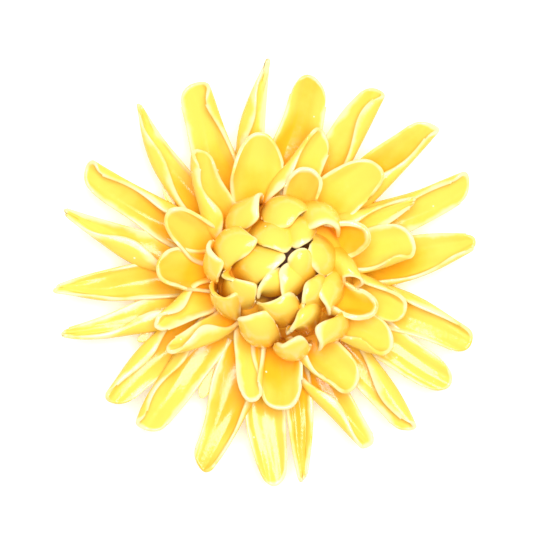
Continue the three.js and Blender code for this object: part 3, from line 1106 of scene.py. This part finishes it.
@dataclass(frozen=True)
class FloorFinish:
    """Matt white paper, so brightly lit that it hardly takes a shadow."""

    name: str = "white paper"
    colour: Colour = (0.96, 0.96, 0.95, 1.0)
    light: Colour = (1.0, 1.0, 1.0, 1.0)
    glow: float = 0.2
    roughness: float = 0.9
    shine: float = 0.1
    tooth: Grain = Grain(0.8, 3.0, 0.03)

    def material(self) -> bpy.types.Material:
        """The paper as a node material.

        Returns:
            A matt material with a faint glow and a fine tooth.
        """
        recipe = Recipe(self.name)
        inputs = recipe.shader.inputs
        inputs["Base Color"].default_value = self.colour
        inputs["Roughness"].default_value = self.roughness
        inputs["Specular IOR Level"].default_value = self.shine
        inputs["Emission Color"].default_value = self.light
        inputs["Emission Strength"].default_value = self.glow
        recipe.bumps(recipe.noise(self.tooth), self.tooth.depth_mm)
        return recipe.material


def make_piece(name: str, skins: list[Skin], material: bpy.types.Material) -> bpy.types.Object:
    """One Blender object out of closed shells.

    Args:
        name: The piece's name.
        skins: Its shells, in millimetres.
        material: Its finish.

    Returns:
        The object, which rides on the root and stands for the bloom.
    """
    starts = np.cumsum([0] + [len(skin.points) for skin in skins[:-1]])
    points = np.concatenate([skin.points for skin in skins]) * MM
    triangles = np.concatenate([skin.triangles + start for skin, start in zip(skins, starts)])
    mesh = bpy.data.meshes.new(name)
    mesh.from_pydata(points.tolist(), [], triangles.tolist())
    # The pooling share that each point holds carries painted shade as well as pooled glaze.
    for label, values in (
        ("edge_mm", [skin.edge for skin in skins]),
        ("pool", [skin.pool for skin in skins]),
    ):
        layer = mesh.attributes.new(label, "FLOAT", "POINT")
        layer.data.foreach_set("value", np.concatenate(values).astype(np.float32))
    mesh.polygons.foreach_set("use_smooth", np.ones(len(triangles), dtype=bool))
    mesh.materials.append(material)
    piece = bpy.data.objects.new(name, mesh)
    bpy.context.scene.collection.objects.link(piece)
    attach(piece, "root")
    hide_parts(NODE)
    log.info("%s: %d shells, %d triangles", name, len(skins), len(triangles))
    return piece


OUTER = Ring(19.0, 7.5, 9.0, 0.5)
INNER = Ring(13.0, 12.0, 14.0, 0.62)
CUPS = Ring(19.0, 20.0, 17.0, 0.85)

# Clockwise from the top of the photo: heading of the root and of the tip, reach, tip height, half
# width, turn of the left and of the right side, the tip's share of the width, and where more glaze
# pooled, and more shade is painted into the trough, than elsewhere, how much.
OUTER_PETALS = (
    (98, 89, 62.6, 17, 3.9, 170, 60, 0.12),
    (76, 75, 60.2, 15, 6.8, 60, 45, 0.72, 2.2),
    (59, 58, 65.0, 17, 5.6, 60, 150, 0.45),
    (41, 42, 67.0, 16, 5.6, 60, 150, 0.58, 1.9),
    (22, 23, 67.0, 16, 5.8, 145, 50, 0.55),
    (4, 8, 64.2, 16, 7.2, 50, 120, 0.28, 1.3),
    (345, 341, 66.0, 15, 5.8, 120, 55, 0.62),
    (331, 329, 64.5, 13, 6.0, 60, 60, 0.66),
    (318, 312, 64.0, 17, 4.6, 165, 70, 0.6),
    (297, 302, 61.5, 15, 5.0, 60, 150, 0.4, 1.5),
    (287, 281, 63.2, 17, 4.6, 75, 85, 0.2, 2.2),
    (270, 273, 63.0, 15, 5.8, 60, 75, 0.68),
    (257, 252, 61.6, 16, 6.4, 110, 60, 0.45, 1.8),
    (231, 234, 59.6, 16, 5.8, 60, 140, 0.62),
    (218, 221, 59.6, 15, 5.4, 60, 140, 0.6),
    (202, 197, 62.0, 16, 4.8, 170, 60, 0.2),
    (184, 185, 62.6, 17, 5.6, 110, 90, 0.15),
    (171, 163, 62.0, 17, 4.8, 165, 65, 0.15),
    (154, 150, 61.0, 16, 5.2, 65, 140, 0.6, 1.4),
    (135, 127, 61.6, 17, 4.4, 165, 60, 0.12),
    (114, 111, 60.6, 16, 5.7, 60, 125, 0.78),
)

INNER_PETALS = (
    (95, 91, 40.2, 22, 7.6, 75, 60, 0.85),
    (72, 65, 45.2, 20, 5.8, 130, 50, 0.55),
    (62, 65, 33.8, 27, 5.0, 85, 85, 0.9, 1.4),
    (46, 44, 46.2, 21, 6.8, 60, 80, 0.9),
    (27, 25, 49.2, 20, 4.6, 150, 50, 0.2),
    (12, 12, 46.2, 20, 6.2, 50, 130, 0.8),
    (348, 344, 44.2, 20, 5.4, 115, 50, 0.8),
    (328, 332, 43.2, 21, 5.8, 60, 125, 0.8),
    (304, 309, 43.2, 20, 5.8, 60, 130, 0.8, 1.5),
    (280, 278, 41.8, 21, 6.8, 70, 75, 0.85, 2.3),
    (258, 266, 38.2, 22, 4.6, 130, 60, 0.5),
    (233, 218, 35.8, 22, 3.4, 170, 20, 0.6),
    (203, 207, 35.4, 22, 4.6, 65, 150, 0.4),
    (179, 176, 31.8, 24, 6.2, 105, 75, 0.8, 1.8),
    (156, 148, 32.8, 25, 5.8, 85, 95, 0.8),
    (128, 117, 40.2, 24, 5.0, 170, 70, 0.5),
)

# Root and belly; the mouth's five spots from left to right; the mouth's height in the middle, how
# far it rises from there to the right, and how far it drops to both corners; half width at root and
# belly; and where it isn't the same as elsewhere, the wall at the left and at the right.
BALL_PETALS = (
    ((242, 207, 10), (238, 207, 25),
     ((264, 195), (259, 199), (258, 211), (258, 220), (252, 229)), (31, 1.5, 3.5), (6, 6.8)),
    ((284, 205, 10), (286, 200, 27),
     ((306, 211), (298, 216), (290, 226), (279, 228), (264, 224)), (32, 0, 4), (6.4, 7.2)),
    ((324, 213, 10), (327, 208, 26.5),
     ((337, 240), (336, 230), (326, 224), (314, 228), (304, 233)), (32.5, 2.5, 5), (5.6, 6.4)),
    ((342, 243, 12), (349, 259, 26.5),
     ((352, 291), (361, 283), (353, 276), (343, 277), (345, 289)), (29.5, 0.5, 7), (4.4, 5.2),
     (1.1, 1.5)),
    ((337, 295, 12), (338, 294, 28),
     ((329, 315), (326, 305), (320, 296), (318, 287), (322, 280)), (33.5, 0.7, 4.7), (5.6, 6.2)),
    ((338, 336, 11), (339, 334, 25.5),
     ((318, 350), (320, 341), (316, 331), (318, 323), (330, 319)), (32.5, 1.5, 4.5), (5.2, 5.6)),
    ((294, 352, 10), (294, 357, 25.5),
     ((277, 340), (283, 343), (291, 339), (301, 335), (309, 343)), (33, 0.2, 4.7), (5.2, 5.6)),
    ((256, 340, 10), (256, 340, 27.5),
     ((239, 316), (247, 316), (257, 313), (267, 311), (274, 317)), (34, 0.5, 3.2), (6.2, 6.2)),
    ((221, 306, 10), (217, 303, 25.5),
     ((211, 286), (217, 294), (227, 297), (235, 294), (242, 291)), (31.5, 2.5, 2.5), (6.2, 6.6)),
    ((213, 262, 12), (207, 263, 25.5),
     ((213, 240), (211, 249), (218, 258), (225, 264), (220, 279)), (31, 0.7, 3.2), (5, 5.8)),
    ((220, 249, 18), (222, 246, 31),
     ((245, 231), (252, 238), (257, 242), (250, 253), (234, 262)), (34.5, 0.5, 3.5), (5.8, 6.8)),
    ((266, 216, 18), (268, 228, 31),
     ((293, 246), (286, 252), (276, 249.5), (266, 246), (255, 240)), (35, -0.5, 3.5), (7, 8.2)),
    ((306, 220, 18), (303, 222, 30),
     ((311, 239), (307, 242), (302, 245), (297, 248), (291, 249)), (33.8, 0.5, 2.5), (4, 4.5)),
    ((331, 250, 18), (328, 251, 30.5),
     ((319, 275), (312, 266), (306, 258), (308, 250), (313, 243)), (35, 1.2, 3.7), (5.4, 6.6)),
    ((226, 300, 14), (232, 292, 29.5),
     ((222, 276), (236, 280), (249, 282), (257, 286), (257, 297)), (34, 1, 3), (6, 6.6)),
    ((232, 268, 22), (248, 265, 33.5),
     ((284, 253), (284, 259), (276, 267), (267, 275), (258, 281)), (36, 0, 3.5), (5.4, 6.4)),
    ((279, 299, 24), (276, 288, 34),
     ((259, 299), (260, 289), (265, 280), (271, 272), (277, 267)), (36, 0.7, 3), (5, 5.8)),
    ((301, 295, 24), (295, 285, 35),
     ((284, 304), (283, 293), (282, 282), (281, 271), (287, 262)), (36.5, 0.7, 3), (5.2, 6.2)),
    ((319, 274, 22), (308, 267, 35),
     ((289, 266), (290, 258), (297, 252), (304, 251), (308, 257)), (36.8, 0, 3), (5, 6)),
    ((324, 307, 22), (315, 296, 34),
     ((303, 310), (303, 301), (304, 292), (306, 284), (312, 279)), (36, 0, 3.2), (5.2, 6)),
    ((274, 328, 19), (279, 315, 33.5),
     ((258, 302), (267, 303), (277, 300), (286, 294), (292, 291)), (36, 1, 3.2), (4.8, 6)),
    ((312, 328, 19), (306, 321, 33),
     ((287, 334), (291, 328), (296, 320), (299, 312), (303, 306)), (34.5, 1.5, 3.2), (4.8, 5.4)),
)

# The two cups at the ball's right foot, in the terms of the open rings, with their wall at the end.
# Their high pooled shares paint the cups' insides deep orange, partly glaze pooled there and partly
# painted shade.
CUP_PETALS = (
    (27, 18, 32.0, 28.5, 5.8, 115, 80, 0.9, 3.0, 2.5),
    (342, 341, 35.0, 26.5, 4.8, 80, 120, 0.9, 3.4, 2.5),
)


@dataclass(frozen=True)
class Petals:
    """One layer of petals as one piece."""

    name: str
    petals: list[Petal]
    grid: PetalGrid = PetalGrid()
    thickener: Thickener = Thickener()

    def build(self, material: bpy.types.Material) -> bpy.types.Object:
        """The layer's petals as one object in a finish."""
        skins = [self.thickener.skin(p.sheet(self.grid), p.hollow) for p in self.petals]
        return make_piece(self.name, skins, material)


@dataclass(frozen=True)
class ClayBody:
    """The foot that the bloom stands on and the core under the ball, as radii and heights."""

    foot: Profile = (
        (0.0, 0.0), (19.8, 0.0), (21.0, 0.3), (22.4, 2.0), (23.0, 5.0), (23.0, 11.0), (0.0, 12.0),
    )
    core: Profile = (
        (0.0, 7.0), (20.0, 7.0), (21.5, 13.3), (20.3, 19.0), (17.5, 24.5), (13.0, 28.2), (8.0, 30.6),
        (0.0, 31.4),
    )
    core_centre: tuple[float, float] = (5.4, 0.6)
    sides: int = 96
    steps: int = 8

    def build(self) -> None:
        """The foot and the core, each as one object in its own finish."""
        make_piece("foot", [self._turned(self.foot, (0.0, 0.0))], FootFinish().material())
        # The core's finish is painted shade: dark brown in the heart, orange farther out.
        make_piece("core", [self._turned(self.core, self.core_centre)], DepthFinish().material())

    def _turned(self, profile: Profile, centre: tuple[float, float]) -> Skin:
        """A profile turned round an upright axis.

        Its lines are divided into even steps. A point of radius r and height h goes, at each angle,
        to the centre plus r times the cosine and the sine, at height h.

        Args:
            profile: Points from the axis at the bottom, out, and back to the axis at the top.
            centre: Where the axis stands.

        Returns:
            The closed shell, whose first and last rings are each one point.
        """
        corners = np.arange(len(profile))
        fine = np.linspace(0.0, corners[-1], self.steps * corners[-1] + 1)
        radius, height = (np.interp(fine, corners, row)[:, None] for row in np.array(profile).T)
        turn = np.linspace(0.0, FULL_TURN, self.sides, endpoint=False)[None, :]
        x, y = centre[0] + radius * np.cos(turn), centre[1] + radius * np.sin(turn)
        points = np.stack([x, y, np.broadcast_to(height, x.shape)], axis=-1).reshape(-1, 3)
        index = np.arange(len(points)).reshape(-1, self.sides)
        index[0], index[-1] = index[0, 0], index[-1, 0]
        used, triangles = np.unique(split(bands(index)), return_inverse=True)
        plain = np.zeros(len(used))
        return Skin(points[used], triangles.reshape(-1, 3), plain, plain)


@dataclass(frozen=True)
class Lamp:
    """A square soft light that faces the flower, with its place and size in metres."""

    name: str
    place: Point
    size: float
    power: float

    def build(self) -> None:
        """Adds the light."""
        light = bpy.data.lights.new(self.name, "AREA")
        light.size = self.size
        light.energy = self.power
        lamp = bpy.data.objects.new(self.name, light)
        lamp.location = self.place
        lamp.rotation_euler = (-Vector(self.place)).to_track_quat("-Z", "Y").to_euler()
        bpy.context.scene.collection.objects.link(lamp)


@dataclass(frozen=True)
class Studio:
    """White floor, soft light from all round and the camera straight above, in metres."""

    camera_height: float = 0.9
    focus_height: float = 0.015
    sensor_mm: float = 36.0
    photo_width: float = PHOTO_STEPS_ACROSS * PHOTO_STEP_MM * MM
    centre: tuple[float, float] = (0.0, 0.0016)
    floor_half: float = 2.0
    sky: float = 0.42
    sky_colour: Colour = (1.0, 1.0, 1.0, 1.0)
    lamp: Lamp = Lamp("softbox", (0.08, 0.12, 1.0), 0.6, 12.0)

    def build(self) -> None:
        """Adds floor, lights and camera."""
        self._lay_floor()
        self.lamp.build()
        world = bpy.data.worlds.new("sky")
        world.use_nodes = True
        background = world.node_tree.nodes["Background"]
        background.inputs["Color"].default_value = self.sky_colour
        background.inputs["Strength"].default_value = self.sky
        bpy.context.scene.world = world
        self._set_camera()
        bpy.context.scene.view_settings.view_transform = "Standard"

    def _lay_floor(self) -> None:
        """Adds the square floor at height 0."""
        half = self.floor_half
        mesh = bpy.data.meshes.new("floor")
        corners = [(-half, -half, 0.0), (half, -half, 0.0), (half, half, 0.0), (-half, half, 0.0)]
        mesh.from_pydata(corners, [], [(0, 1, 2, 3)])
        mesh.materials.append(FloorFinish().material())
        floor = bpy.data.objects.new("floor", mesh)
        bpy.context.scene.collection.objects.link(floor)

    def _set_camera(self) -> None:
        """Adds the camera, whose lens takes in the photo's width at the height it focuses on."""
        lens = bpy.data.cameras.new("camera")
        lens.sensor_width = self.sensor_mm
        lens.lens = self.sensor_mm * (self.camera_height - self.focus_height) / self.photo_width
        camera = bpy.data.objects.new("camera", lens)
        camera.location = (*self.centre, self.camera_height)
        bpy.context.scene.collection.objects.link(camera)
        bpy.context.scene.camera = camera


def main() -> None:
    """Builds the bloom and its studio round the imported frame."""
    logging.basicConfig(level=logging.INFO, format="%(name)s: %(message)s")
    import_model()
    glaze = GlazeFinish().material()
    outer = [OpenPetal(OUTER, i + 1, *row) for i, row in enumerate(OUTER_PETALS)]
    inner = [OpenPetal(INNER, i + 1, *row) for i, row in enumerate(INNER_PETALS)]
    ball = [HoodPetal(*row) for row in BALL_PETALS]
    cups = [OpenPetal(CUPS, i + 1, *row) for i, row in enumerate(CUP_PETALS)]
    for layer in (
        Petals("outer_petals", outer),
        Petals("fork_tongues", Forks().between(outer), PetalGrid(rows=20, columns=13)),
        Petals("inner_petals", inner),
        Petals("ball_petals", ball + cups),
    ):
        layer.build(glaze)
    ClayBody().build()
    Studio().build()


if __name__ == "__main__":
    main()
